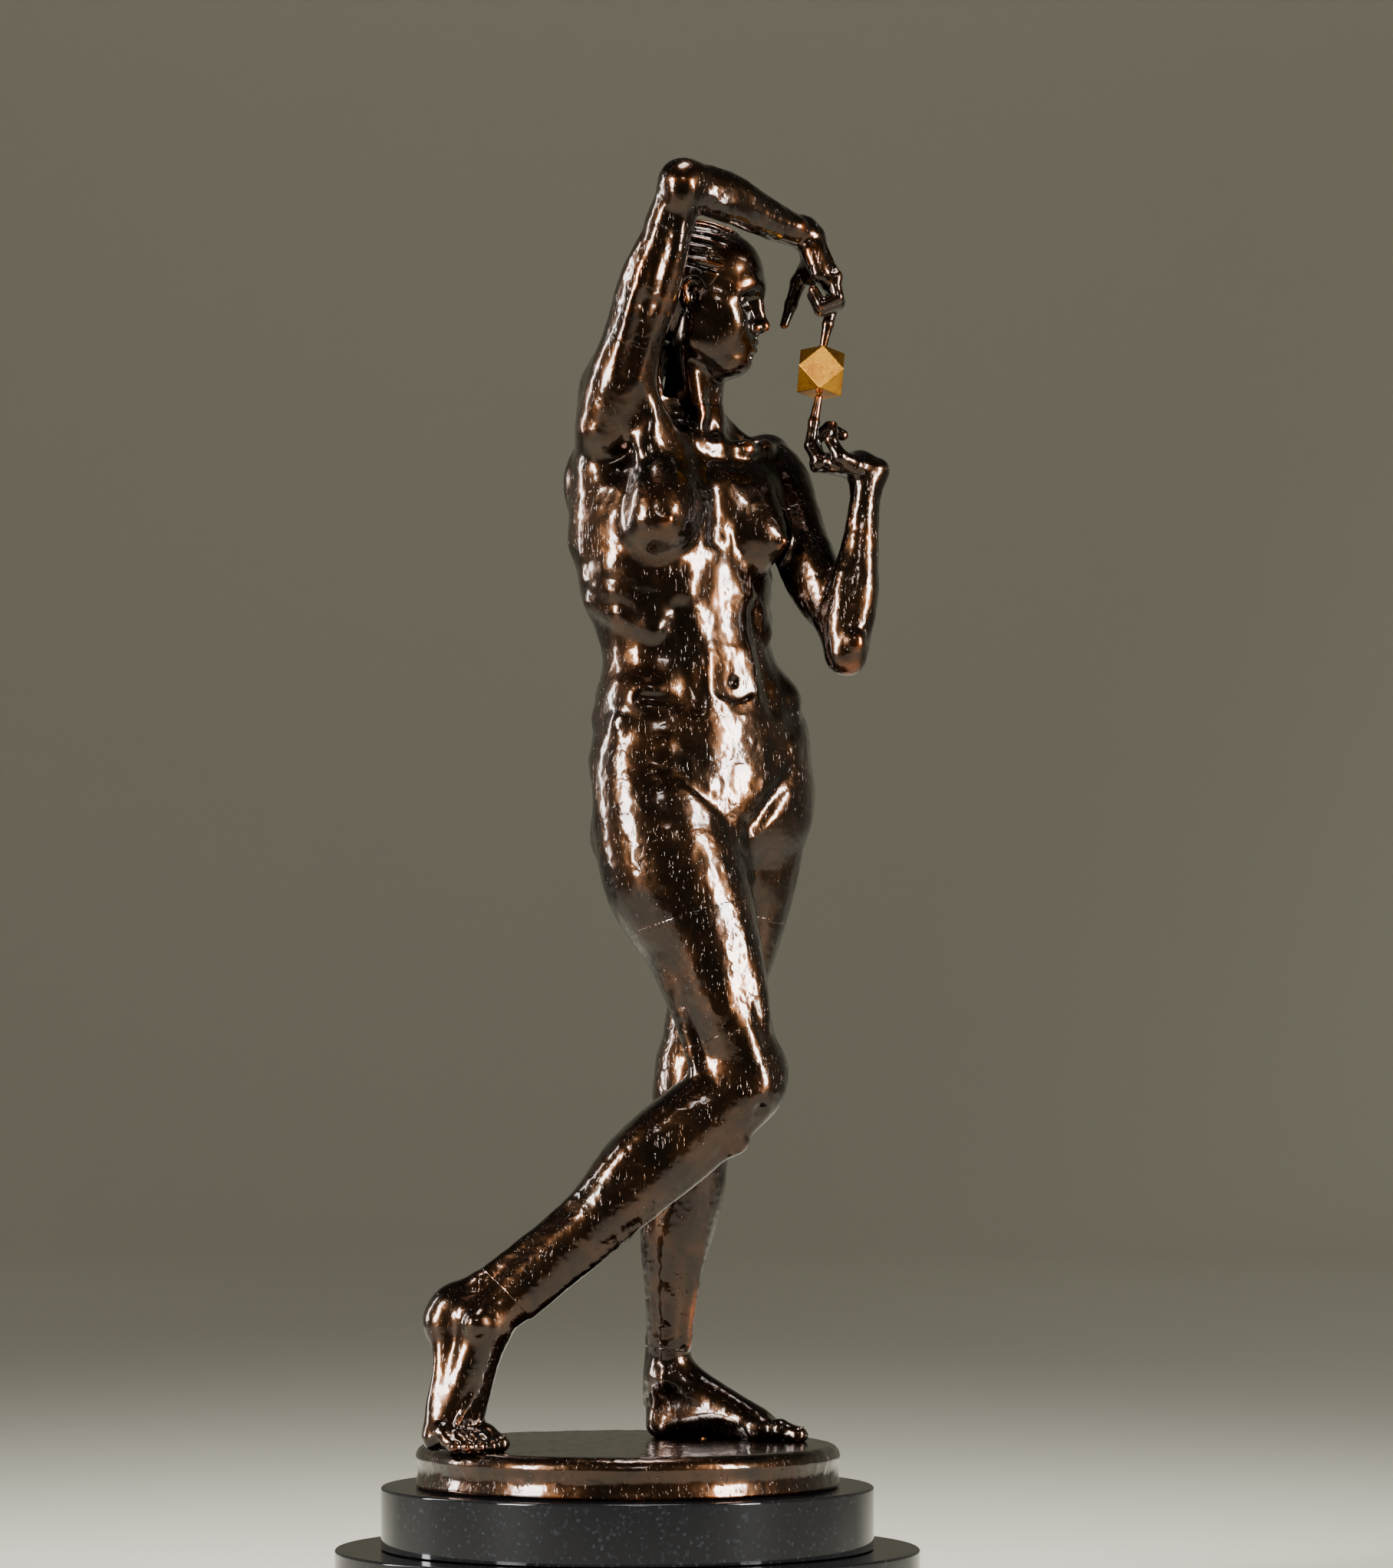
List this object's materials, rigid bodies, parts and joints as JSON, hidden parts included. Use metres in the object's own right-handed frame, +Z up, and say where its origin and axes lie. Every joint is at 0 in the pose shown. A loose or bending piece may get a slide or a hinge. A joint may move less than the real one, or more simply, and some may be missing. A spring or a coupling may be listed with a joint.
{
  "type": "figurine",
  "caption": "Dark bronze standing figure on a round terrace, holding a small faceted solid between two fingertips, on a stepped round stone base that turns.",
  "frame": {"origin": "centre of the underside of the felt pad under the lower stone", "axes": "+Z up, -Y towards the viewer of the display front, +X to that viewer's right"},
  "size_m": [0.241, 0.241, 0.5983],
  "materials": {
    "patinated_bronze": "dark brown chemical patina, waxed, rubbed through to gold on the high points",
    "brushed_brass": "fine brushed",
    "pin_bronze": "turned bronze rod",
    "cage_brass": "punched sheet",
    "zinc_steel": "zinc plated",
    "polished_steel": "ground balls",
    "polished_stone": "polished black granite",
    "felt": "pressed wool felt"
  },
  "bodies": {
    "stand": {"felt_pad": "felt", "lower_stone": "polished_stone", "swivel_lower_plate": "zinc_steel", "lower_plate_screws": "zinc_steel", "swivel_pivot": "zinc_steel"},
    "ball_ring": {"ball_cage": "cage_brass", "bearing_balls": "polished_steel"},
    "statue": {"torso": "patinated_bronze", "head": "patinated_bronze", "right_upper_arm": "patinated_bronze", "right_forearm": "patinated_bronze", "right_hand": "patinated_bronze", "left_upper_arm": "patinated_bronze", "left_forearm": "patinated_bronze", "left_hand": "patinated_bronze", "right_thigh": "patinated_bronze", "right_shin": "patinated_bronze", "right_foot": "patinated_bronze", "left_thigh": "patinated_bronze", "left_shin": "patinated_bronze", "left_foot": "patinated_bronze", "terrace": "patinated_bronze", "faceted_solid": "brushed_brass", "solid_pin": "brushed_brass", "casting_dowels": "pin_bronze", "joint_pins": "pin_bronze", "foot_studs": "pin_bronze", "foot_stud_washers": "zinc_steel", "foot_stud_nuts": "zinc_steel", "terrace_bolts": "zinc_steel", "terrace_bolt_washers": "zinc_steel", "upper_stone": "polished_stone", "swivel_upper_plate": "zinc_steel", "upper_plate_screws": "zinc_steel"}
  },
  "joints": [
    {"name": "base_swivel", "type": "hinge", "parent": "stand", "child": "statue", "pos_m": [0, 0, 0.0318], "axis": [0, 0, 1], "continuous": true},
    {"name": "ball_ring_turn", "type": "hinge", "parent": "stand", "child": "ball_ring", "pos_m": [0, 0, 0.0318], "axis": [0, 0, 1], "continuous": true}
  ],
  "couplings": [
    {"joint": "ball_ring_turn", "follows": "base_swivel", "ratio": 0.5}
  ]
}
